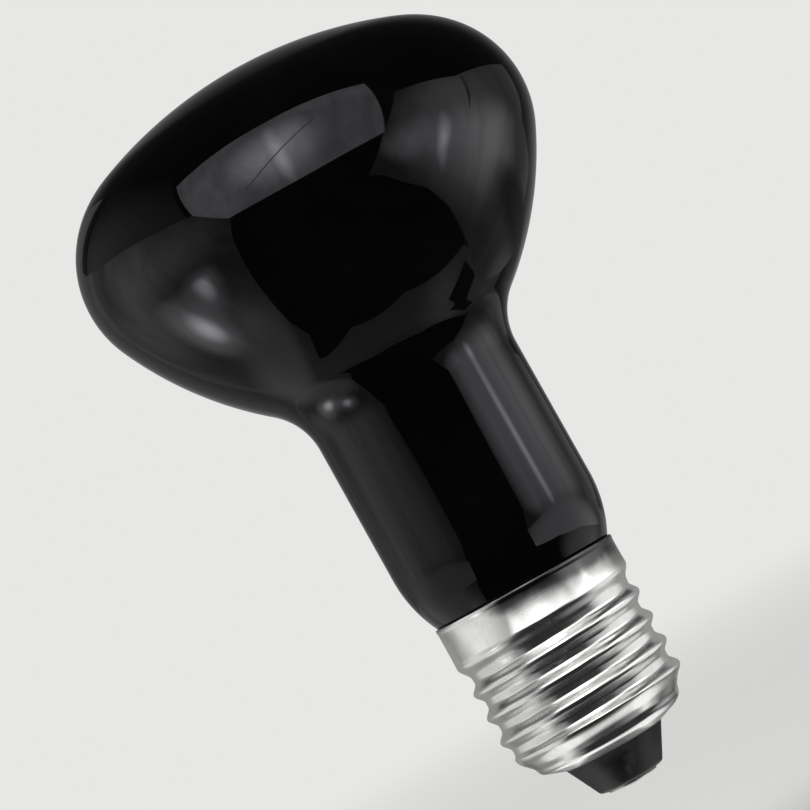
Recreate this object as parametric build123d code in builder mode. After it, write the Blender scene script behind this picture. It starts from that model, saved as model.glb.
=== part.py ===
from build123d import *
import math
import os

# Reflector lamp with a screw cap. The axis is Z, the end of the contact is at the origin
# and the front of the glass points up.

# Glass envelope: tangent arcs from the front dome down to the neck
head_diameter = 65.9
shoulder_radius = 15.1
front_join = 65.8  # degrees above the widest circle, where the shoulder meets the front dome
reflector_radius = 49.8
reflector_join = 25.1  # degrees below the widest circle, where the shoulder meets the reflector
neck_fillet_radius = 9.1
neck_length = 19.9
neck_round_length = 8.5
neck_step = 2.08  # how far the neck stands out past the bore of the shell
spigot_length = 10.0
spigot_tuck = 2.4
spigot_edge_radius = 1.0
cement_gap = 0.5

# Screw shell, rolled from sheet
sheet = 0.3
crest_diameter = 26.05
thread_pitch = 3.629
thread_depth = 0.95
flank_width = 0.715
crest_width = 0.35
root_fillet_radius = 0.4
thread_zone_height = 15.55
thread_end_angle = 40.0  # degrees from +X, where the groove starts to run out
groove_clearance = 0.1
seam_lead = 70.0  # degrees from the shell's seam to the start of the groove
collar_step = 0.2
collar_height = 3.95
bead_height = 0.7
bead_rise = 0.08
shoulder_height = 3.8
bend_diameter = 21.0
bend_radius = 0.9
end_cone_height = 1.2
opening_diameter = 14.5

# Insulator and contact
insulator_height = 4.95
insulator_end_diameter = 9.3
insulator_edge_radius = 0.7
insulator_rise = 2.9  # above the bend of the shell
insulator_thread_gap = 0.3
contact_margin = 1.05
contact_thickness = 0.35
contact_edge_radius = 0.12
contact_tube_diameter = 3.0
contact_tube_wall = 0.6
solder_margin = 1.1
solder_rise = 0.4
solder_plug_length = 2.0

# Gap between round faces that fit into one another
fit_gap = 0.05

# Levels along the axis, from the contact up
insulator_low = solder_rise + contact_thickness
shell_low = insulator_low + insulator_height
bend_level = shell_low + end_cone_height
thread_low = bend_level + shoulder_height
collar_low = thread_low + thread_zone_height
rim = collar_low + collar_height
bead_low = rim - bead_height

# Radii of the shell
crest_radius = crest_diameter / 2
root_radius = crest_radius - thread_depth
collar_radius = crest_radius + collar_step
opening_radius = opening_diameter / 2
bore_radius = collar_radius - sheet

# The thread's groove, and the same groove on the inside of the sheet, which is wider at its floor
flank_slope = flank_width / thread_depth
root_width = thread_pitch - crest_width - 2 * flank_width
inner_root_width = root_width + 2 * sheet * math.tan((math.pi / 2 - math.atan(flank_slope)) / 2)
inner_depth = (thread_pitch - crest_width - inner_root_width) / 2 / flank_slope
inner_root_radius = root_radius - sheet
inner_crest_radius = inner_root_radius + inner_depth

# The groove's floor runs from below the shoulder to its run-out under the collar
groove_runout = 1.2 * math.sqrt(crest_radius**2 - root_radius**2)
runout_rise = groove_runout * thread_pitch / (2 * math.pi * root_radius)
groove_top = collar_low - (thread_pitch - crest_width) / 2 - runout_rise - groove_clearance
groove_low = bend_level - thread_pitch / 2
groove_start_angle = thread_end_angle - 360 * (groove_top - groove_low) / thread_pitch


def inset(points, distance):
    """Move an open outline towards the axis by an even distance, keeping its corners."""
    moved = []
    for (r0, z0), (r1, z1) in zip(points, points[1:]):
        length = math.hypot(r1 - r0, z1 - z0)
        shift_r = (z0 - z1) / length * distance
        shift_z = (r1 - r0) / length * distance
        moved.append(((r0 + shift_r, z0 + shift_z), (r1 + shift_r, z1 + shift_z)))
    corners = [moved[0][0]]
    for ((r0, z0), (r1, z1)), ((r2, z2), (r3, z3)) in zip(moved, moved[1:]):
        cross = (r1 - r0) * (z3 - z2) - (z1 - z0) * (r3 - r2)
        share = ((r2 - r0) * (z3 - z2) - (z2 - z0) * (r3 - r2)) / cross
        corners.append((r0 + share * (r1 - r0), z0 + share * (z1 - z0)))
    corners.append(moved[-1][1])
    return corners


def level_at(start, end, radius):
    """The level at which the straight line from start to end has this radius."""
    return start[1] + (end[1] - start[1]) * (radius - start[0]) / (end[0] - start[0])


def thread_path(radius):
    """Right-hand helix along the floor of the groove."""
    rise = groove_top - groove_low
    helix = Helix(pitch=thread_pitch, height=rise, radius=radius, center=(0, 0, groove_low))
    return Rot(Z=groove_start_angle) * helix


def groove_section(path, position, floor_width, depth):
    """The groove across its path, open outwards and cut clear past the crest."""
    origin = path @ position
    across = Plane(origin=origin, x_dir=(origin.X, origin.Y, 0), z_dir=path % position)
    half_floor = floor_width / 2
    half_mouth = half_floor + depth * flank_slope
    with BuildSketch(across) as section:
        with BuildLine():
            FilletPolyline(
                (2 * depth, -half_mouth),
                (depth, -half_mouth),
                (0, -half_floor),
                (0, half_floor),
                (depth, half_mouth),
                (2 * depth, half_mouth),
                radius=[0, root_fillet_radius, root_fillet_radius, 0],
            )
            Line((2 * depth, half_mouth), (2 * depth, -half_mouth))
        make_face()
    return section.sketch


# Glass envelope: the arcs' centres, worked up from the neck
head_radius = head_diameter / 2
spigot_radius = inner_root_radius - cement_gap
seat_radius = bore_radius - fit_gap
neck_radius = seat_radius + neck_step
neck_round_radius = (neck_round_length**2 + neck_step**2) / (2 * neck_step)
neck_round_angle = math.degrees(math.atan2(neck_round_length, neck_round_radius - neck_step))
neck_low = rim + neck_round_length
neck_top = neck_low + neck_length
fillet_r = neck_radius + neck_fillet_radius
shoulder_r = head_radius - shoulder_radius
join_angle = math.radians(reflector_join)
reflector_r = shoulder_r - (reflector_radius - shoulder_radius) * math.cos(join_angle)
reach = reflector_radius + neck_fillet_radius
reflector_end = math.degrees(math.acos((fillet_r - reflector_r) / reach))
reflector_z = neck_top + reach * math.sin(math.radians(reflector_end))
shoulder_z = reflector_z - (reflector_radius - shoulder_radius) * math.sin(join_angle)
front_radius = shoulder_radius + shoulder_r / math.cos(math.radians(front_join))
front_z = shoulder_z - shoulder_r * math.tan(math.radians(front_join))
front_top = front_z + front_radius
spigot_low = rim - spigot_length

with BuildPart() as glass_envelope:
    with BuildSketch(Plane.XZ):
        with BuildLine():
            CenterArc((0, front_z), front_radius, 90, front_join - 90)
            CenterArc((shoulder_r, shoulder_z), shoulder_radius, front_join, -front_join - reflector_join)
            CenterArc(
                (reflector_r, reflector_z),
                reflector_radius,
                -reflector_join,
                reflector_join - reflector_end,
            )
            CenterArc((fillet_r, neck_top), neck_fillet_radius, 180 - reflector_end, reflector_end)
            Line((neck_radius, neck_top), (neck_radius, neck_low))
            CenterArc((neck_radius - neck_round_radius, neck_low), neck_round_radius, 0, -neck_round_angle)
            FilletPolyline(
                (seat_radius, rim),
                (spigot_radius, rim - spigot_tuck),
                (spigot_radius, spigot_low),
                (0, spigot_low),
                radius=spigot_edge_radius,
            )
            Line((0, spigot_low), (0, front_top))
        make_face()
    revolve(axis=Axis.Z)
glass_envelope.part.label = "glass_envelope"

# Screw shell: its inside as a solid first, then the outside less that. Both are turned from an
# upright plane just before the groove starts, so that the seam stays clear of the groove's end.
seam_angle = groove_start_angle - seam_lead
seam_plane = Plane(
    origin=(0, 0, 0),
    x_dir=Vector(1, 0, 0).rotate(Axis.Z, seam_angle),
    z_dir=Vector(0, -1, 0).rotate(Axis.Z, seam_angle),
)
shell_corners = [
    (opening_radius, shell_low),
    (bend_diameter / 2, bend_level),
    (crest_radius, thread_low),
    (crest_radius, collar_low),
]
inner_corners = inset(shell_corners, sheet)
inner_thread_low = level_at(inner_corners[1], inner_corners[2], inner_crest_radius)
inner_path = thread_path(inner_root_radius)
inner_groove = (inner_root_width, inner_depth)

with BuildPart() as shell_inside:
    with BuildSketch(seam_plane):
        with BuildLine():
            FilletPolyline(
                (opening_radius, level_at(inner_corners[0], inner_corners[1], opening_radius)),
                inner_corners[1],
                (inner_crest_radius, inner_thread_low),
                (inner_crest_radius, collar_low),
                radius=[bend_radius - sheet, 0],
            )
            Polyline(
                (inner_crest_radius, collar_low),
                (bore_radius, collar_low),
                (bore_radius, rim + sheet),
                (0, rim + sheet),
                (0, shell_low - sheet),
                (opening_radius, shell_low - sheet),
                (opening_radius, level_at(inner_corners[0], inner_corners[1], opening_radius)),
            )
        make_face()
    revolve(axis=Axis.Z)
    sweep(groove_section(inner_path, 0, *inner_groove), inner_path, is_frenet=True, mode=Mode.SUBTRACT)
    extrude(groove_section(inner_path, 1, *inner_groove), amount=groove_runout, mode=Mode.SUBTRACT)

outer_path = thread_path(root_radius)
outer_groove = (root_width, thread_depth)

with BuildPart() as screw_shell:
    with BuildSketch(seam_plane):
        with BuildLine():
            FilletPolyline(*shell_corners, radius=[bend_radius, 0])
            Polyline(
                (crest_radius, collar_low),
                (collar_radius, collar_low + collar_step),
                (collar_radius, bead_low),
            )
            ThreePointArc(
                (collar_radius, bead_low),
                (collar_radius + bead_rise, (bead_low + rim) / 2),
                (collar_radius, rim),
            )
            Polyline((collar_radius, rim), (0, rim), (0, shell_low), (opening_radius, shell_low))
        make_face()
    revolve(axis=Axis.Z)
    sweep(groove_section(outer_path, 0, *outer_groove), outer_path, is_frenet=True, mode=Mode.SUBTRACT)
    extrude(groove_section(outer_path, 1, *outer_groove), amount=groove_runout, mode=Mode.SUBTRACT)
    add(shell_inside.part, mode=Mode.SUBTRACT)
screw_shell.part.label = "screw_shell"

# Insulator: fills the turned-in end of the shell and shows as a cone below it
insulator_corners = inset(shell_corners, sheet + fit_gap)
insulator_radius = opening_radius - fit_gap
insulator_wall_radius = inner_root_radius - insulator_thread_gap
insulator_top = bend_level + insulator_rise
tube_radius = contact_tube_diameter / 2
tube_hole_radius = tube_radius + fit_gap

with BuildPart() as base_insulator:
    with BuildSketch(Plane.XZ):
        with BuildLine():
            FilletPolyline(
                (0, insulator_low),
                (insulator_end_diameter / 2, insulator_low),
                (insulator_radius, shell_low),
                (insulator_radius, level_at(insulator_corners[0], insulator_corners[1], insulator_radius)),
                *insulator_corners[1:],
                (0, collar_low),
                radius=[insulator_edge_radius, 0, 0, bend_radius - sheet - fit_gap, 0, 0],
            )
            Line((0, collar_low), (0, insulator_low))
        make_face()
        with Locations((tube_hole_radius, insulator_low)):
            Rectangle(
                insulator_wall_radius - tube_hole_radius,
                insulator_top - insulator_low,
                align=(Align.MIN, Align.MIN),
                mode=Mode.INTERSECT,
            )
    revolve(axis=Axis.Z)
base_insulator.part.label = "base_insulator"

# Contact: a plate with a tube that grips the insulator, and the solder that closes it
contact_radius = insulator_end_diameter / 2 - contact_margin
tube_bore_radius = tube_radius - contact_tube_wall

with BuildPart() as contact_plate:
    with BuildSketch(Plane.XZ):
        with BuildLine():
            FilletPolyline(
                (tube_bore_radius, solder_rise),
                (contact_radius, solder_rise),
                (contact_radius, insulator_low),
                (tube_radius, insulator_low),
                (tube_radius, insulator_top),
                (tube_bore_radius, insulator_top),
                radius=[contact_edge_radius, 0, 0, 0],
            )
            Line((tube_bore_radius, insulator_top), (tube_bore_radius, solder_rise))
        make_face()
    revolve(axis=Axis.Z)
contact_plate.part.label = "contact_plate"

solder_radius = contact_radius - solder_margin
solder_sphere_radius = (solder_radius**2 + solder_rise**2) / (2 * solder_rise)
plug_radius = tube_bore_radius - fit_gap

with BuildPart() as contact_solder:
    with BuildSketch(Plane.XZ):
        with BuildLine():
            RadiusArc((0, 0), (solder_radius, solder_rise), -solder_sphere_radius)
            Polyline(
                (solder_radius, solder_rise),
                (plug_radius, solder_rise),
                (plug_radius, solder_rise + solder_plug_length),
                (0, solder_rise + solder_plug_length),
                (0, 0),
            )
        make_face()
    revolve(axis=Axis.Z)
contact_solder.part.label = "contact_solder"

os.makedirs("parts", exist_ok=True)
export_step(glass_envelope.part, "parts/glass_envelope.step")
export_step(screw_shell.part, "parts/screw_shell.step")
export_step(base_insulator.part, "parts/base_insulator.step")
export_step(contact_plate.part, "parts/contact_plate.step")
export_step(contact_solder.part, "parts/contact_solder.step")
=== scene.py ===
import math

import bmesh
import bpy
from mathutils import Matrix, Vector


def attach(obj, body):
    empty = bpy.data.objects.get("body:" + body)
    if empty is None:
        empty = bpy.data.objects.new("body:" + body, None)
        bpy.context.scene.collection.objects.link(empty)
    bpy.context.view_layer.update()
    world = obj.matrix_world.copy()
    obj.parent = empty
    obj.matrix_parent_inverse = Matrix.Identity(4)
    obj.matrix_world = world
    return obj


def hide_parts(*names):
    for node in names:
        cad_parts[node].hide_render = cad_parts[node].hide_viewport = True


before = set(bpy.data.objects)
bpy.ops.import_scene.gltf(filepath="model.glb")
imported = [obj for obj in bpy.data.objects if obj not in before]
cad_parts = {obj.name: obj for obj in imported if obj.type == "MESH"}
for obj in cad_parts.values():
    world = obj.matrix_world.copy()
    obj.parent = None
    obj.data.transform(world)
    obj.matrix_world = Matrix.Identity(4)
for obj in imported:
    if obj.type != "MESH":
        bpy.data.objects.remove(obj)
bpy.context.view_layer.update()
scene = bpy.context.scene
scene.view_settings.view_transform = "Standard"
mm = 0.001


def metres(values):
    return [v * mm for v in values]


def newObject(name, data):
    item = bpy.data.objects.new(name, data)
    scene.collection.objects.link(item)
    return item


def finishMesh(bm, name):
    mesh = bpy.data.meshes.new(name)
    bm.to_mesh(mesh)
    bm.free()
    return mesh


# Outlines: (radius, height) points in millimetres, in order along the surface

def arcPoints(centre, radius, startDeg, endDeg, steps):
    points = []
    for i in range(steps + 1):
        angle = math.radians(startDeg + (endDeg - startDeg) * i / steps)
        points.append((centre[0] + radius * math.cos(angle), centre[1] + radius * math.sin(angle)))
    return points


def linePoints(start, end, steps):
    return [(start[0] + (end[0] - start[0]) * i / steps, start[1] + (end[1] - start[1]) * i / steps)
            for i in range(steps + 1)]


def roundedLine(points, radii, steps=8):
    # every inner corner becomes an arc of its own radius
    outline = [points[0]]
    for before, corner, after, radius in zip(points, points[1:], points[2:], radii):
        here = Vector(corner)
        inward = (Vector(before) - here).normalized()
        outward = (Vector(after) - here).normalized()
        half = inward.angle(outward) / 2
        reach = radius / math.tan(half)
        centre = here + (inward + outward).normalized() * (radius / math.sin(half))
        first = here + inward * reach - centre
        last = here + outward * reach - centre
        turn = first.angle_signed(last)
        for i in range(steps + 1):
            angle = -turn * i / steps
            x = first.x * math.cos(angle) - first.y * math.sin(angle)
            y = first.x * math.sin(angle) + first.y * math.cos(angle)
            outline.append(tuple(centre + Vector((x, y))))
    outline.append(points[-1])
    return outline


def joined(*runs):
    # runs one after another, without the doubled points where they meet
    outline = []
    for run in runs:
        for point in run:
            if not outline or math.hypot(point[0] - outline[-1][0], point[1] - outline[-1][1]) > 1e-5:
                outline.append(point)
    return outline


def lathe(name, outline, segments, sharpAngle):
    # turns an outline that starts and ends on the axis; the two poles are single points
    bm = bmesh.new()
    rings = []
    for radius, height in outline:
        if radius < 1e-6:
            rings.append([bm.verts.new((0, 0, height * mm))])
            continue
        ring = []
        for i in range(segments):
            angle = 2 * math.pi * i / segments
            x = radius * mm * math.cos(angle)
            y = radius * mm * math.sin(angle)
            ring.append(bm.verts.new((x, y, height * mm)))
        rings.append(ring)
    for upper, lower in zip(rings, rings[1:]):
        for i in range(segments):
            k = (i + 1) % segments
            if len(upper) == 1:
                bm.faces.new((upper[0], lower[i], lower[k]))
            elif len(lower) == 1:
                bm.faces.new((upper[i], lower[0], upper[k]))
            else:
                bm.faces.new((upper[i], lower[i], lower[k], upper[k]))
    bmesh.ops.recalc_face_normals(bm, faces=bm.faces)
    mesh = finishMesh(bm, name)
    mesh.shade_smooth()
    mesh.set_sharp_from_angle(angle=math.radians(sharpAngle))
    return newObject(name, mesh)


# Node helpers

def feed(socket, value):
    # an output is linked, and a plain value is set on the socket itself
    if isinstance(value, bpy.types.NodeSocket):
        socket.id_data.links.new(value, socket)
    else:
        socket.default_value = value


def addNode(tree, kind, inputs=None, **settings):
    node = tree.nodes.new(kind)
    for key, value in settings.items():
        setattr(node, key, value)
    for key, value in (inputs or {}).items():
        feed(node.inputs[key], value)
    return node


def mathsNode(tree, operation, *values):
    return addNode(tree, "ShaderNodeMath", dict(enumerate(values)), operation=operation).outputs[0]


def smoothNode(tree, value, low, high, start, end):
    inputs = {"Value": value, "From Min": low, "From Max": high, "To Min": start, "To Max": end}
    return addNode(tree, "ShaderNodeMapRange", inputs, interpolation_type="SMOOTHSTEP").outputs["Result"]


def mixColours(tree, share, first, second):
    return addNode(tree, "ShaderNodeMix", {"Factor": share, 6: first, 7: second}, data_type="RGBA").outputs[2]


def bumpNode(tree, height, depth):
    return addNode(tree, "ShaderNodeBump", {"Strength": 1.0, "Distance": depth, "Height": height})


def fadedOut(tree, surface, share):
    # the surface turns clear where the share is 1
    clear = addNode(tree, "ShaderNodeBsdfTransparent").outputs[0]
    return addNode(tree, "ShaderNodeMixShader", {"Fac": share, 1: surface, 2: clear}).outputs[0]


def newMaterial(name):
    material = bpy.data.materials.new(name)
    material.use_nodes = True
    material.node_tree.nodes.clear()
    return material, material.node_tree


def newSkin(name, inputs):
    material, tree = newMaterial(name)
    skin = addNode(tree, "ShaderNodeBsdfPrincipled", inputs)
    addNode(tree, "ShaderNodeOutputMaterial", {"Surface": skin.outputs["BSDF"]})
    place = addNode(tree, "ShaderNodeTexCoord").outputs["Object"]
    return material, tree, skin, place


def setGloss(tree, skin, share, roughness):
    inputs = {"Value": share, "To Min": roughness[0], "To Max": roughness[1]}
    gloss = addNode(tree, "ShaderNodeMapRange", inputs)
    feed(skin.inputs["Roughness"], gloss.outputs["Result"])


def newGroup(name, inputs, outputs):
    group = bpy.data.node_groups.new(name, "ShaderNodeTree")
    for label, kind in inputs:
        group.interface.new_socket(name=label, in_out="INPUT", socket_type=kind)
    for label, kind in outputs:
        group.interface.new_socket(name=label, in_out="OUTPUT", socket_type=kind)
    return group, addNode(group, "NodeGroupInput").outputs, addNode(group, "NodeGroupOutput").inputs


def addMarks(tree, place, group, scales):
    return addNode(tree, "ShaderNodeGroup", {"Vector": place, **scales}, node_tree=group).outputs


# Handling marks: soft smears, shared by the glass and the insulator
smearMarks = {"noise": {"Detail": 5.0, "Roughness": 0.6, "Distortion": 0.8}, "range": (0.42, 0.72)}


def makeHandlingMarks(s):
    group, start, end = newGroup(
        "handlingMarks",
        [("Vector", "NodeSocketVector"), ("Smear Scale", "NodeSocketFloat")],
        [("Smear", "NodeSocketFloat")],
    )
    inputs = {"Vector": start["Vector"], "Scale": start["Smear Scale"], **s["noise"]}
    smear = addNode(group, "ShaderNodeTexNoise", inputs).outputs["Fac"]
    feed(end["Smear"], smoothNode(group, smear, *s["range"], 0.0, 1.0))
    return group


# Rolling marks: fine lines round the axis and cloudy tarnish, shared by the metal pieces
metalMarks = {
    "squeeze": (0.02, 0.02, 1.0), "lineNoise": {"Detail": 3.0, "Roughness": 0.55},
    "cloudNoise": {"Detail": 6.0, "Roughness": 0.62, "Distortion": 0.4}, "cloudRange": (0.35, 0.75),
}


def makeRollingMarks(s):
    group, start, end = newGroup(
        "rollingMarks",
        [("Vector", "NodeSocketVector"), ("Line Scale", "NodeSocketFloat"),
         ("Cloud Scale", "NodeSocketFloat")],
        [("Line", "NodeSocketFloat"), ("Cloud", "NodeSocketFloat")],
    )
    squeezed = addNode(group, "ShaderNodeMapping", {"Vector": start["Vector"], "Scale": s["squeeze"]})
    lineInputs = {"Vector": squeezed.outputs["Vector"], "Scale": start["Line Scale"], **s["lineNoise"]}
    feed(end["Line"], addNode(group, "ShaderNodeTexNoise", lineInputs).outputs["Fac"])
    cloudInputs = {"Vector": start["Vector"], "Scale": start["Cloud Scale"], **s["cloudNoise"]}
    cloud = addNode(group, "ShaderNodeTexNoise", cloudInputs).outputs["Fac"]
    feed(end["Cloud"], smoothNode(group, cloud, *s["cloudRange"], 0.0, 1.0))
    return group


handlingMarks = makeHandlingMarks(smearMarks)
rollingMarks = makeRollingMarks(metalMarks)
print("mark groups ready")

# Black glass bulb: its form in millimetres and degrees, then its look, with the depth of the waves in metres
bulbGlass = {
    "headDiameter": 65.9, "shoulderRadius": 15.1, "frontJoin": 65.8,
    "reflectorRadius": 49.8, "reflectorJoin": 25.1, "neckFilletRadius": 9.1,
    "neckRadius": 14.955, "neckLength": 19.9, "neckRoundLength": 8.5, "neckStep": 2.08,
    "rim": 30.2, "spigotRadius": 11.275, "spigotLength": 10.0, "spigotTuck": 2.4, "spigotEdge": 1.0,
    "segments": 256, "sharpAngle": 40,
    "frontSteps": 40, "shoulderSteps": 48, "reflectorSteps": 40, "filletSteps": 24,
    "neckSteps": 12, "footSteps": 16,
    "colour": (0.0011, 0.0011, 0.0013, 1.0),
    "smearColour": (0.0022, 0.0022, 0.0025, 1.0), "smearScale": 48.0,
    "index": 1.5, "shine": 0.3, "sheen": (0.93, 0.93, 1.0, 1.0),
    "roughness": (0.02, 0.07),
    "waveNoise": {"Scale": 34.0, "Detail": 2.0, "Roughness": 0.5}, "waveDepth": 0.000018,
}


def makeBlackGlass(s):
    material, tree, skin, place = newSkin("blackGlass", {
        "IOR": s["index"], "Metallic": 0.0, "Specular IOR Level": s["shine"], "Specular Tint": s["sheen"],
    })
    smear = addMarks(tree, place, handlingMarks, {"Smear Scale": s["smearScale"]})["Smear"]
    feed(skin.inputs["Base Color"], mixColours(tree, smear, s["colour"], s["smearColour"]))
    setGloss(tree, skin, smear, s["roughness"])
    wave = addNode(tree, "ShaderNodeTexNoise", {"Vector": place, **s["waveNoise"]}).outputs["Fac"]
    feed(skin.inputs["Normal"], bumpNode(tree, wave, s["waveDepth"]).outputs["Normal"])
    return material


def makeBulbGlass(s):
    headRadius = s["headDiameter"] / 2
    neckLow = s["rim"] + s["neckRoundLength"]
    neckTop = neckLow + s["neckLength"]
    filletR = s["neckRadius"] + s["neckFilletRadius"]
    shoulderR = headRadius - s["shoulderRadius"]
    spread = s["reflectorRadius"] - s["shoulderRadius"]
    join = math.radians(s["reflectorJoin"])
    reflectorR = shoulderR - spread * math.cos(join)
    reach = s["reflectorRadius"] + s["neckFilletRadius"]
    reflectorEnd = math.degrees(math.acos((filletR - reflectorR) / reach))
    reflectorZ = neckTop + reach * math.sin(math.radians(reflectorEnd))
    shoulderZ = reflectorZ - spread * math.sin(join)
    front = math.radians(s["frontJoin"])
    frontRadius = s["shoulderRadius"] + shoulderR / math.cos(front)
    frontZ = shoulderZ - shoulderR * math.tan(front)
    roundRadius = (s["neckRoundLength"] ** 2 + s["neckStep"] ** 2) / (2 * s["neckStep"])
    roundAngle = math.degrees(math.atan2(s["neckRoundLength"], roundRadius - s["neckStep"]))
    seat = s["neckRadius"] - s["neckStep"]
    spigotLow = s["rim"] - s["spigotLength"]
    outline = joined(
        arcPoints((0, frontZ), frontRadius, 90, s["frontJoin"], s["frontSteps"]),
        arcPoints((shoulderR, shoulderZ), s["shoulderRadius"], s["frontJoin"], -s["reflectorJoin"],
                  s["shoulderSteps"]),
        arcPoints((reflectorR, reflectorZ), s["reflectorRadius"], -s["reflectorJoin"], -reflectorEnd,
                  s["reflectorSteps"]),
        arcPoints((filletR, neckTop), s["neckFilletRadius"], 180 - reflectorEnd, 180, s["filletSteps"]),
        linePoints((s["neckRadius"], neckTop), (s["neckRadius"], neckLow), s["neckSteps"]),
        arcPoints((s["neckRadius"] - roundRadius, neckLow), roundRadius, 0, -roundAngle, s["footSteps"]),
        roundedLine(
            [(seat, s["rim"]), (s["spigotRadius"], s["rim"] - s["spigotTuck"]),
             (s["spigotRadius"], spigotLow), (0, spigotLow)],
            [s["spigotEdge"], s["spigotEdge"]],
        ),
    )
    outline[0] = (0, outline[0][1])
    return lathe("bulbGlass", outline, s["segments"], s["sharpAngle"])


glass = makeBulbGlass(bulbGlass)
glass.data.materials.append(makeBlackGlass(bulbGlass))
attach(glass, "root")
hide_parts("glass_envelope")
print("bulb glass", len(glass.data.polygons), "faces")

# Screw shell: one turned outline with the groove pressed into it along a helix, which ends under a slight
# lip. Lengths are in millimetres, runout and openTurns are shares of a turn, and lineDepth and flareDepth
# are in metres
screwShell = {
    "openingRadius": 7.25, "shellLow": 5.7, "bendRadius": 10.5, "bendLevel": 6.9, "bendRound": 2.4,
    "crestRadius": 13.025, "threadLow": 10.7, "threadRound": 0.5, "blendLow": 21.5, "blendHigh": 24.6,
    "collarRadius": 13.225, "beadLow": 29.5, "beadRise": 0.08, "rim": 30.2, "sheet": 0.3, "edgeSteps": 16,
    "pitch": 3.629, "depth": 0.95, "floorHalf": 0.32, "mouthHalf": 1.79, "topExtra": 0.5, "openTurns": 0.25,
    "endHeight": 24.477, "endAngle": 67.0, "runout": 0.075,
    "lipRise": 0.05, "lipReach": 2.2, "lipBlend": 0.9,
    "coneShare": 0.42, "coneLow": 6.6, "coneHigh": 7.9,
    "around": 192, "rings": 226, "weld": 0.001,
    "colour": (0.92, 0.915, 0.90, 1.0), "roughness": (0.19, 0.31),
    "lineScale": 2600.0, "lineDepth": 0.000004, "cloudScale": 170.0, "cloudShare": 0.25,
    "tarnish": (0.40, 0.395, 0.385, 1.0), "tarnishHeights": (25.0, 27.2), "tarnishSides": (-1.0, 7.0),
    "soot": (0.05, 0.05, 0.05, 1.0), "sootNoise": {"Scale": 230.0, "Detail": 4.0, "Roughness": 0.5},
    "sootHeights": (26.2, 29.4), "sootAmounts": (-0.35, 0.55),
    "sootSides": (-8.5, -1.5), "sootLoss": -0.75, "sootRange": (0.2, 1.0), "sootCover": 0.95,
    "flareHeights": (29.45, 25.2), "flarePower": 1.2, "flareDepth": 0.00068,
}
threadCounts = {"Around": "around", "Rings": "rings"}
threadShares = {
    "End Angle": "endAngle", "Runout": "runout", "Open Turns": "openTurns", "Cone Share": "coneShare",
}
threadLengths = {
    "Crest Radius": "crestRadius", "Pitch": "pitch", "Depth": "depth", "Floor Half": "floorHalf",
    "Mouth Half": "mouthHalf", "Top Extra": "topExtra", "End Height": "endHeight", "Lip Rise": "lipRise",
    "Lip Reach": "lipReach", "Lip Blend": "lipBlend", "Cone Low": "coneLow", "Cone High": "coneHigh",
    "Weld": "weld",
}


def makeCapMetal(s):
    material, tree, skin, place = newSkin("capMetal", {"Metallic": 1.0})
    scales = {"Line Scale": s["lineScale"], "Cloud Scale": s["cloudScale"]}
    marks = addMarks(tree, place, rollingMarks, scales)
    axes = addNode(tree, "ShaderNodeSeparateXYZ", {0: place}).outputs
    # tarnish: light clouds everywhere, and duller on one side of the collar
    above = smoothNode(tree, axes["Z"], *metres(s["tarnishHeights"]), 0.0, 1.0)
    beside = smoothNode(tree, axes["X"], *metres(s["tarnishSides"]), 0.0, 1.0)
    clouds = mathsNode(tree, "MULTIPLY", marks["Cloud"], s["cloudShare"])
    share = mathsNode(tree, "MAXIMUM", mathsNode(tree, "MULTIPLY", above, beside), clouds)
    tint = mixColours(tree, share, s["colour"], s["tarnish"])
    # soot: thick at the rim, broken up by noise and thinner on the left
    high = smoothNode(tree, axes["Z"], *metres(s["sootHeights"]), *s["sootAmounts"])
    aside = smoothNode(tree, axes["X"], *metres(s["sootSides"]), s["sootLoss"], 0.0)
    patch = addNode(tree, "ShaderNodeTexNoise", {"Vector": place, **s["sootNoise"]}).outputs["Fac"]
    soot = mathsNode(tree, "ADD", mathsNode(tree, "ADD", high, aside), patch)
    mask = smoothNode(tree, soot, *s["sootRange"], 0.0, s["sootCover"])
    feed(skin.inputs["Base Color"], mixColours(tree, mask, tint, s["soot"]))
    setGloss(tree, skin, marks["Cloud"], s["roughness"])
    lines = bumpNode(tree, marks["Line"], s["lineDepth"])
    # the collar opens very slightly towards the thread
    rim, mouth = metres(s["flareHeights"])
    flare = addNode(tree, "ShaderNodeMapRange", {"Value": axes["Z"], "From Min": rim, "From Max": mouth})
    opening = mathsNode(tree, "POWER", flare.outputs["Result"], s["flarePower"])
    lean = bumpNode(tree, opening, s["flareDepth"])
    feed(lean.inputs["Normal"], lines.outputs["Normal"])
    feed(skin.inputs["Normal"], lean.outputs["Normal"])
    return material


def shellOutline(s):
    low = roundedLine(
        [(s["openingRadius"], s["shellLow"]), (s["bendRadius"], s["bendLevel"]),
         (s["crestRadius"], s["threadLow"]), (s["crestRadius"], s["blendLow"])],
        [s["bendRound"], s["threadRound"]],
    )
    blend = []
    bead = []
    for i in range(s["edgeSteps"] + 1):
        share = i / s["edgeSteps"]
        widening = (s["collarRadius"] - s["crestRadius"]) * share * share * (3 - 2 * share)
        blend.append((s["crestRadius"] + widening,
                      s["blendLow"] + (s["blendHigh"] - s["blendLow"]) * share))
        bead.append((s["collarRadius"] + s["beadRise"] * math.sin(math.pi * share),
                     s["beadLow"] + (s["rim"] - s["beadLow"]) * share))
    return joined(low, blend, bead)


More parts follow.
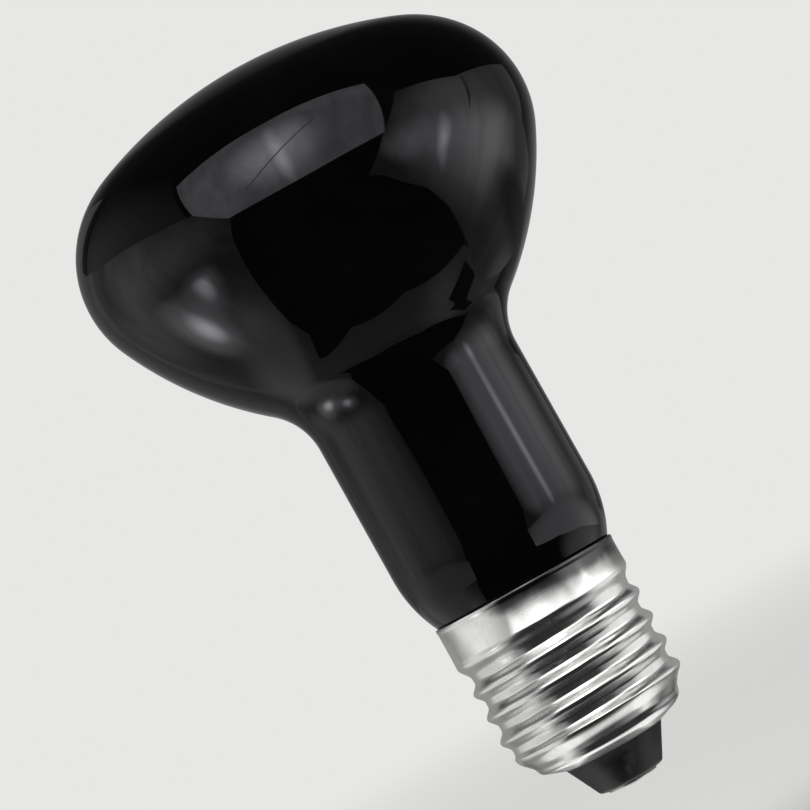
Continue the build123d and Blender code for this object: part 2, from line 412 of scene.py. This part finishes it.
def makeThreadTree():
    tree = bpy.data.node_groups.new("screwThread", "GeometryNodeTree")

    def addSocket(label, kind, way="INPUT"):
        tree.interface.new_socket(name=label, in_out=way, socket_type="NodeSocket" + kind)

    def maths(operation, *values):
        return mathsNode(tree, operation, *values)

    def smooth(*values):
        return smoothNode(tree, *values)

    addSocket("Outline", "Geometry")
    for label in threadCounts:
        addSocket(label, "Int")
    for label in (*threadShares, *threadLengths):
        addSocket(label, "Float")
    addSocket("Metal", "Material")
    addSocket("Shell", "Geometry", "OUTPUT")
    value = addNode(tree, "NodeGroupInput").outputs
    curve = addNode(tree, "GeometryNodeMeshToCurve", {"Mesh": value["Outline"]}).outputs["Curve"]
    grid = addNode(tree, "GeometryNodeMeshGrid", {
        "Size X": 1.0, "Size Y": 1.0,
        "Vertices X": maths("ADD", value["Around"], 1), "Vertices Y": value["Rings"],
    })
    position = addNode(tree, "GeometryNodeInputPosition").outputs[0]
    flat = addNode(tree, "ShaderNodeSeparateXYZ", {0: position}).outputs
    turn = maths("ADD", flat["X"], 0.5)
    along = {"Curves": curve, "Factor": maths("ADD", flat["Y"], 0.5)}
    sample = addNode(tree, "GeometryNodeSampleCurve", along, mode="FACTOR", use_all_curves=True)
    section = addNode(tree, "ShaderNodeSeparateXYZ", {0: sample.outputs["Position"]}).outputs
    baseRadius, height = section["X"], section["Z"]
    # turns from the groove's end along its nearest turn, and the height over the middle of that turn
    part = maths("FRACT", maths("SUBTRACT", turn, maths("DIVIDE", value["End Angle"], 360.0)))
    rise = maths("SUBTRACT", height, value["End Height"])
    nearest = maths("ROUND", maths("SUBTRACT", maths("DIVIDE", rise, value["Pitch"]), part))
    turns = maths("ADD", part, maths("MINIMUM", nearest, -1.0))
    over = maths("SUBTRACT", rise, maths("MULTIPLY", turns, value["Pitch"]))
    # the last turn opens a little wider towards the collar
    top = smooth(turns, -1.0, maths("SUBTRACT", value["Open Turns"], 1.0), 0.0, 1.0)
    widen = maths("MULTIPLY", maths("MULTIPLY", top, maths("GREATER_THAN", over, 0.0)), value["Top Extra"])
    mouth = maths("ADD", value["Mouth Half"], widen)
    fade = smooth(turns, maths("MULTIPLY", value["Runout"], -1.0), 0.0, 1.0, 0.0)
    shape = smooth(maths("ABSOLUTE", over), value["Floor Half"], mouth, 1.0, 0.0)
    cut = maths("MULTIPLY", maths("MULTIPLY", shape, fade), value["Depth"])
    # the groove runs on to the cone as a shallow dip
    spare = maths("MAXIMUM", maths("SUBTRACT", value["Crest Radius"], baseRadius), 0.0)
    reach = smooth(height, value["Cone Low"], value["Cone High"], 0.0, value["Cone Share"])
    groove = maths("MAXIMUM", maths("SUBTRACT", cut, spare), maths("MULTIPLY", cut, reach))
    # the collar flares slightly down to the edge of the groove
    room = maths("SUBTRACT", maths("ADD", mouth, value["Lip Reach"]), over)
    down = maths("DIVIDE", room, value["Lip Reach"])
    ramp = maths("MINIMUM", maths("MAXIMUM", down, 0.0), 1.0)
    below = maths("MULTIPLY", value["Lip Blend"], -1.0)
    side = smooth(over, below, value["Lip Blend"], 0.0, value["Lip Rise"])
    raised = maths("MULTIPLY", maths("MULTIPLY", ramp, ramp), side)
    lip = maths("MULTIPLY", raised, maths("MULTIPLY", top, fade))
    radius = maths("SUBTRACT", maths("ADD", baseRadius, lip), groove)
    angle = maths("MULTIPLY", turn, 2 * math.pi)
    spot = addNode(tree, "ShaderNodeCombineXYZ", {
        "X": maths("MULTIPLY", radius, maths("COSINE", angle)),
        "Y": maths("MULTIPLY", radius, maths("SINE", angle)), "Z": height,
    })
    placed = {"Geometry": grid.outputs["Mesh"], "Position": spot.outputs[0]}
    made = addNode(tree, "GeometryNodeSetPosition", placed)
    for kind, inputs in (("MergeByDistance", {"Distance": value["Weld"]}), ("SetShadeSmooth", {}),
                         ("RealizeInstances", {}), ("SetMaterial", {"Material": value["Metal"]})):
        made = addNode(tree, "GeometryNode" + kind, {"Geometry": made.outputs["Geometry"], **inputs})
    addNode(tree, "NodeGroupOutput", {"Shell": made.outputs["Geometry"]})
    return tree


def runTree(name, startMesh, tree, values):
    source = newObject(name + "Source", startMesh)
    modifier = source.modifiers.new(name, "NODES")
    modifier.node_group = tree
    for item in tree.interface.items_tree:
        if item.item_type == "SOCKET" and item.in_out == "INPUT" and item.name in values:
            modifier[item.identifier] = values[item.name]
    graph = bpy.context.evaluated_depsgraph_get()
    mesh = bpy.data.meshes.new_from_object(source.evaluated_get(graph))
    bpy.data.objects.remove(source)
    mesh.name = name
    return newObject(name, mesh)


def makeScrewShell(s, metal):
    points = [(r * mm, 0, z * mm) for r, z in shellOutline(s)]
    wire = bpy.data.meshes.new("shellOutline")
    wire.from_pydata(points, [(i, i + 1) for i in range(len(points) - 1)], [])
    values = {label: s[key] for label, key in (threadCounts | threadShares).items()}
    values |= {label: s[key] * mm for label, key in threadLengths.items()}
    values["Metal"] = metal
    shell = runTree("screwShell", wire, makeThreadTree(), values)
    # the faces look outwards, so that the sheet thickens inwards
    bm = bmesh.new()
    bm.from_mesh(shell.data)
    side = max(bm.faces, key=lambda f: f.calc_center_median().to_2d().length)
    if side.normal.to_2d().dot(side.calc_center_median().to_2d()) < 0:
        bmesh.ops.reverse_faces(bm, faces=bm.faces)
    bm.to_mesh(shell.data)
    bm.free()
    wall = shell.modifiers.new("sheet", "SOLIDIFY")
    wall.thickness = s["sheet"] * mm
    wall.offset = -1
    return shell


shell = makeScrewShell(screwShell, makeCapMetal(screwShell))
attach(shell, "root")
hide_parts("screw_shell")
print("screw shell", len(shell.data.polygons), "faces")

# Insulator, contact and solder keep their solids and get their finishes, with the depth of pits in metres
baseInsulator = {
    "colour": (0.003, 0.003, 0.0035, 1.0), "worn": (0.02, 0.016, 0.018, 1.0), "smearScale": 260.0,
    "index": 1.5, "roughness": (0.36, 0.58),
}
contactPlate = {
    "colour": (0.56, 0.54, 0.50, 1.0), "dull": (0.34, 0.32, 0.29, 1.0), "cloudScale": 600.0,
    "roughness": (0.32, 0.5), "pitDepth": 0.00001,
}
contactSolder = {
    "colour": (0.62, 0.62, 0.6, 1.0), "dull": (0.34, 0.34, 0.33, 1.0), "cloudScale": 420.0,
    "roughness": (0.28, 0.55), "pitDepth": 0.00004,
}


def makeDarkInsulator(s):
    material, tree, skin, place = newSkin("darkInsulator", {"IOR": s["index"], "Metallic": 0.0})
    smear = addMarks(tree, place, handlingMarks, {"Smear Scale": s["smearScale"]})["Smear"]
    feed(skin.inputs["Base Color"], mixColours(tree, smear, s["colour"], s["worn"]))
    setGloss(tree, skin, smear, s["roughness"])
    return material


def makeDullMetal(name, s):
    material, tree, skin, place = newSkin(name, {"Metallic": 1.0})
    cloud = addMarks(tree, place, rollingMarks, {"Cloud Scale": s["cloudScale"]})["Cloud"]
    feed(skin.inputs["Base Color"], mixColours(tree, cloud, s["colour"], s["dull"]))
    setGloss(tree, skin, cloud, s["roughness"])
    feed(skin.inputs["Normal"], bumpNode(tree, cloud, s["pitDepth"]).outputs["Normal"])
    return material


def finishNode(node, material):
    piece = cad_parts[node]
    piece.data.materials.clear()
    piece.data.materials.append(material)


finishNode("base_insulator", makeDarkInsulator(baseInsulator))
finishNode("contact_plate", makeDullMetal("tinnedContact", contactPlate))
finishNode("contact_solder", makeDullMetal("leadSolder", contactSolder))
print("insulator, contact and solder finished")

# Studio: a light tent round the bulb that only reflections show, in millimetres. A glow is (place, reach,
# strength), and folds is the scale of the cloth's ripple. A soft panel fades out from its place to its
# reach, a oneSided panel is clear from behind, and near is how far away a panel can still be seen
studio = {
    "foldNoise": {"Scale": 1.0, "Detail": 5.0, "Roughness": 0.6, "Distortion": 0.7},
    "foldRange": (0.28, 0.72), "foldLevels": (0.8, 1.2), "softFrom": 0.35,
    "panels": {
        "frontFlap": {
            "base": 1.4, "folds": (26, 20, 9),
            "glows": [((-8, -130, 146), (72, 60, 78), 3.7), ((-4, -132, 138), (11, 40, 100), 3.2),
                      ((-90, -130, 140), (80, 60, 100), 0.55)],
            "corners": [(-157, -101, 245), (0, -108, 222), (143, -106, 230), (133, -149, 75), (0, -150, 72),
                        (-95, -149, 75), (-142, -133, 132)],
        },
        "frontCrease": {
            "base": 1.0,
            "corners": [(-50, -138, 106), (-50, -137, 108), (45, -120, 170), (45, -121, 168)],
        },
        "leftWall": {
            "base": 0.24, "folds": (10, 16, 7),
            "glows": [((-190, 12, -48), (60, 31, 38), 5.2), ((-190, 12, -48), (60, 72, 78), 2.1),
                      ((-190, -70, -38), (60, 30, 29), 3.4), ((-190, -72, -38), (60, 68, 58), 1.4),
                      ((-190, -110, 75), (100, 170, 115), 0.45), ((-190, 0, 100), (100, 110, 115), 0.5),
                      ((-190, 70, 20), (100, 110, 90), 0.3), ((-190, -20, -150), (100, 150, 130), 0.7)],
            "corners": [(-190, 205, 168), (-190, 100, 153), (-190, -170, 150), (-190, -290, 62),
                        (-190, -250, 0), (-190, -200, -100), (-190, -150, -155), (-190, -80, -245),
                        (-190, -50, -330), (-190, 205, -330)],
        },
        "leftBack": {
            "base": 0.17,
            "corners": [(-190, 480, 340), (-190, 290, 340), (-190, 270, 185), (-190, 205, 168),
                        (-190, 205, -330), (-190, 400, -330), (-190, 480, 100)],
        },
        "leftScreen": {
            "base": 0.66, "soft": ((-60, 8, 2), (60, 62, 34)),
            "corners": [(-60, 72, 38), (-60, -56, 38), (-60, -56, -34), (-60, 72, -34)],
        },
        "rightWall": {
            "base": 0.2, "folds": (20, 34, 12),
            "glows": [((90, -76, 52), (60, 64, 42), 1.5), ((90, -8, 52), (60, 63, 38), 1.5),
                      ((90, -40, 26), (60, 85, 34), 0.5), ((90, 55, 26), (60, 70, 26), 0.15),
                      ((90, -42, 84), (60, 72, 54), 0.85), ((90, -41, 52), (40, 9, 34), 3.6)],
            "corners": [(90, -67, 127), (90, -112, 75), (90, -160, -20), (90, -97, -10), (90, -55, 3),
                        (90, -27, 0), (90, -5, -10), (90, 10, -16), (90, 28, -26), (90, 75, -30),
                        (90, 110, -20), (90, 110, 56), (90, 66, 68), (90, 60, 107), (90, -15, 107)],
        },
        "rightCrease": {
            "base": 0.3,
            "corners": [(89, -11, 106), (89, -8.5, 106), (89, -12, 88), (89, -17, 74), (89, -15, 88)],
        },
        "rightApron": {
            "base": 0.85, "soft": ((31, -4, 13), (20, 23, 20)), "near": 38,
            "corners": [(31, 20, 33), (31, -28, 33), (31, -28, -8), (31, 20, -8)],
        },
        "neckApronRight": {
            "base": 1.4, "soft": ((24, -15, 28.5), (44, 25, 9)), "oneSided": True, "near": 36,
            "corners": [(9.4, -22.3, 27.4), (15, -33, 29.6), (46, -28, 34.5), (46, 14, 34.5),
                        (23.2, 6, 27.6), (22.8, -7.5, 27.4), (17, -17, 27.4)],
        },
        "neckApronLeft": {
            "base": 0.6, "soft": ((-22, -15, 28.5), (44, 27, 9)), "oneSided": True, "near": 36,
            "corners": [(-23.2, 6, 27.6), (-46, 14, 34.5), (-46, -26, 34.5), (-20, -33, 30),
                        (-12.5, -20.8, 27.4), (-17.2, -16.8, 27.4), (-22.8, -7.5, 27.4)],
        },
        "neckEdge": {
            "base": 0.34, "soft": ((40, 25, 45), (20, 17, 22)), "near": 48,
            "corners": [(40, 8, 30), (40, 42, 30), (40, 42, 59), (40, 8, 59)],
        },
        "headShade": {
            "base": 0.09, "soft": ((42, 17, 61), (24, 32, 20)), "oneSided": True,
            "corners": [(19, -15, 61), (66, -15, 61), (66, 49, 61), (19, 49, 61)],
        },
        "ringSheet": {
            "base": 1.0, "near": 44,
            "corners": [(-30, -10, -20), (30, -10, -20), (30, 40, -20), (-30, 40, -20)],
        },
        "capCanopy": {
            "base": 0.6, "oneSided": True,
            "corners": [(-32, -16, 60), (32, -16, 60), (32, -36, 60), (-32, -36, 60)],
        },
        "capShade": {
            "base": 0.02, "oneSided": True,
            "corners": [(14, -20, 2), (14, -20, -58), (-14, -20, -58), (-14, -20, 2)],
        },
        "backLeft": {
            "base": 0.3,
            "corners": [(-15.5, 15, 30.5), (-15.5, 15, 3), (-30, 15, 3), (-30, 15, 30.5)],
        },
        "backRight": {
            "base": 0.3,
            "corners": [(15.5, 15, 30.5), (15.5, 15, 3), (28, 15, 3), (28, 15, 30.5)],
        },
        "upperVeil": {
            "base": 0.04, "glows": [((-200, 0, 150), (400, 300, 190), 0.22)],
            "corners": [(-200, -165, 145), (-200, 200, 150), (-200, 200, 340), (-200, -90, 340)],
        },
        "underSheet": {
            "base": 0.24,
            "glows": [((0, 52, -60), (70, 42, 46), 2.2), ((0, 88, -60), (70, 42, 46), 1.6),
                      ((70, 8, -60), (46, 40, 40), 0.25)],
            "corners": [(-110, 30, -60), (-60, -2, -60), (-25, -33, -60), (39, -34, -60), (68, -18, -60),
                        (104, 3, -60), (125, 16, -60), (125, 130, -60), (-110, 130, -60)],
        },
        "underGap": {
            "base": 0.03,
            "corners": [(72, 22, -59), (82, 58, -59), (112, 62, -59), (112, 26, -59)],
        },
    },
    "cloth": {
        "base": 0.02, "glows": [((0, 2400, 0), (1950, 1950, 1950), 0.28)],
        "radius": 2400, "around": 48, "rings": 32,
    },
}


def reflectionOnly(item):
    # the tent shows in the gloss of the bulb and stays out of the picture itself
    item.visible_camera = False
    item.visible_diffuse = False
    item.visible_transmission = False
    item.visible_volume_scatter = False
    item.visible_shadow = False


def ellipsoidLength(tree, place, spot, reach):
    # 0 at the spot and 1 at its reach
    kind = "ShaderNodeVectorMath"
    away = addNode(tree, kind, {0: place, 1: metres(spot)}, operation="SUBTRACT").outputs["Vector"]
    scaled = addNode(tree, kind, {0: away, 1: metres(reach)}, operation="DIVIDE").outputs["Vector"]
    return addNode(tree, kind, {0: scaled}, operation="LENGTH").outputs["Value"]


def glowMaterial(name, spec):
    material, tree = newMaterial(name)
    place = addNode(tree, "ShaderNodeTexCoord").outputs["Object"]
    strength = spec["base"]
    for spot, reach, peak in spec.get("glows", []):
        glow = smoothNode(tree, ellipsoidLength(tree, place, spot, reach), 0.0, 1.0, peak, 0.0)
        strength = mathsNode(tree, "ADD", strength, glow)
    if "folds" in spec:
        stretched = addNode(tree, "ShaderNodeMapping", {"Vector": place, "Scale": spec["folds"]})
        inputs = {"Vector": stretched.outputs["Vector"], **studio["foldNoise"]}
        cloth = addNode(tree, "ShaderNodeTexNoise", inputs).outputs["Fac"]
        ripple = smoothNode(tree, cloth, *studio["foldRange"], *studio["foldLevels"])
        strength = mathsNode(tree, "MULTIPLY", strength, ripple)
    surface = addNode(tree, "ShaderNodeEmission", {"Strength": strength}).outputs[0]
    hidden = []
    if "soft" in spec:
        length = ellipsoidLength(tree, place, *spec["soft"])
        hidden.append(smoothNode(tree, length, studio["softFrom"], 1.0, 0.0, 1.0))
    if "oneSided" in spec:
        hidden.append(addNode(tree, "ShaderNodeNewGeometry").outputs["Backfacing"])
    if "near" in spec:
        travelled = addNode(tree, "ShaderNodeLightPath").outputs["Ray Length"]
        hidden.append(mathsNode(tree, "GREATER_THAN", travelled, spec["near"] * mm))
    if hidden:
        share = hidden[0]
        for other in hidden[1:]:
            share = mathsNode(tree, "MAXIMUM", share, other)
        surface = fadedOut(tree, surface, share)
    addNode(tree, "ShaderNodeOutputMaterial", {"Surface": surface})
    return material


def makePanel(name, spec):
    mesh = bpy.data.meshes.new(name)
    corners = [Vector(c) * mm for c in spec["corners"]]
    middle = sum(corners, Vector()) / len(corners)
    count = len(corners)
    mesh.from_pydata([middle, *corners], [], [(0, i + 1, (i + 1) % count + 1) for i in range(count)])
    mesh.materials.append(glowMaterial(name + "Glow", spec))
    reflectionOnly(newObject(name, mesh))


def makeDarkTent(spec):
    # dark cloth all round for the reflections, paler straight behind the bulb
    bm = bmesh.new()
    bmesh.ops.create_uvsphere(bm, u_segments=spec["around"], v_segments=spec["rings"],
                              radius=spec["radius"] * mm)
    mesh = finishMesh(bm, "darkTent")
    mesh.materials.append(glowMaterial("darkCloth", spec))
    reflectionOnly(newObject("darkTent", mesh))


for panelName, panelSpec in studio["panels"].items():
    makePanel(panelName, panelSpec)
makeDarkTent(studio["cloth"])
print("light tent with", len(studio["panels"]), "panels")

# Pale floor, which fades into the pale surroundings before its edge, and the key lamp, in metres
setting = {
    "pale": (0.80, 0.80, 0.79, 1.0), "fill": 0.62,
    "floorLevel": -0.022, "floorRadius": 0.9, "floorFade": (0.12, 0.855), "floorSegments": 96,
    "keyEnergy": 5.0, "keySize": 0.5, "keyPlace": (-0.35, -0.25, 0.9), "keyAim": (0, 0, 0.04),
}


def makeFloor(s):
    bm = bmesh.new()
    bmesh.ops.create_circle(bm, cap_ends=True, radius=s["floorRadius"], segments=s["floorSegments"])
    bmesh.ops.translate(bm, verts=bm.verts, vec=(0, 0, s["floorLevel"]))
    mesh = finishMesh(bm, "floor")
    material, tree = newMaterial("paleFloor")
    matte = addNode(tree, "ShaderNodeBsdfDiffuse", {"Color": s["pale"]}).outputs[0]
    place = addNode(tree, "ShaderNodeTexCoord").outputs["Object"]
    away = addNode(tree, "ShaderNodeVectorMath", {0: place}, operation="LENGTH").outputs["Value"]
    share = smoothNode(tree, away, *s["floorFade"], 0.0, 1.0)
    addNode(tree, "ShaderNodeOutputMaterial", {"Surface": fadedOut(tree, matte, share)})
    mesh.materials.append(material)
    floor = newObject("floor", mesh)
    floor.visible_glossy = False


def makeSurroundings(s):
    # full strength where it is seen, in gloss and glass too, and the fill level as light
    world = bpy.data.worlds.new("paleStudio")
    scene.world = world
    world.use_nodes = True
    tree = world.node_tree
    tree.nodes.clear()
    path = addNode(tree, "ShaderNodeLightPath").outputs
    seen = mathsNode(tree, "MAXIMUM", path["Is Camera Ray"], path["Is Glossy Ray"])
    through = mathsNode(tree, "MAXIMUM", seen, path["Is Transmission Ray"])
    level = addNode(tree, "ShaderNodeMapRange", {"Value": through, "To Min": s["fill"], "To Max": 1.0})
    sky = addNode(tree, "ShaderNodeBackground", {"Color": s["pale"], "Strength": level.outputs["Result"]})
    addNode(tree, "ShaderNodeOutputWorld", {"Surface": sky.outputs[0]})


def makeKeyLamp(s):
    data = bpy.data.lights.new("keyLamp", "AREA")
    data.energy = s["keyEnergy"]
    data.size = s["keySize"]
    lamp = newObject("keyLamp", data)
    lamp.location = s["keyPlace"]
    lamp.rotation_mode = "QUATERNION"
    lamp.rotation_quaternion = (Vector(s["keyAim"]) - lamp.location).to_track_quat("-Z", "Y")
    lamp.visible_glossy = False
    lamp.visible_camera = False


makeFloor(setting)
makeSurroundings(setting)
makeKeyLamp(setting)
print("floor, surroundings and key lamp ready")

# Camera, rolled so that the bulb leans as in the picture
viewSettings = {
    "eye": (-0.00212, -0.390, 0.0364), "aim": (-0.00212, 0.0, 0.05845), "roll": 29.25,
    "lens": 130.2, "sensor": 36.0, "clip": (0.01, 20.0),
}


def makeCamera(s):
    data = bpy.data.cameras.new("camera")
    data.lens = s["lens"]
    data.sensor_width = s["sensor"]
    data.clip_start, data.clip_end = s["clip"]
    camera = newObject("camera", data)
    forward = (Vector(s["aim"]) - Vector(s["eye"])).normalized()
    side = forward.cross(Vector((0, 0, 1))).normalized()
    top = side.cross(forward)
    roll = math.radians(s["roll"])
    right = side * math.cos(roll) - top * math.sin(roll)
    upward = side * math.sin(roll) + top * math.cos(roll)
    turn = Matrix((right, upward, -forward)).transposed().to_4x4()
    camera.matrix_world = Matrix.Translation(Vector(s["eye"])) @ turn
    scene.camera = camera


makeCamera(viewSettings)
print("camera ready")
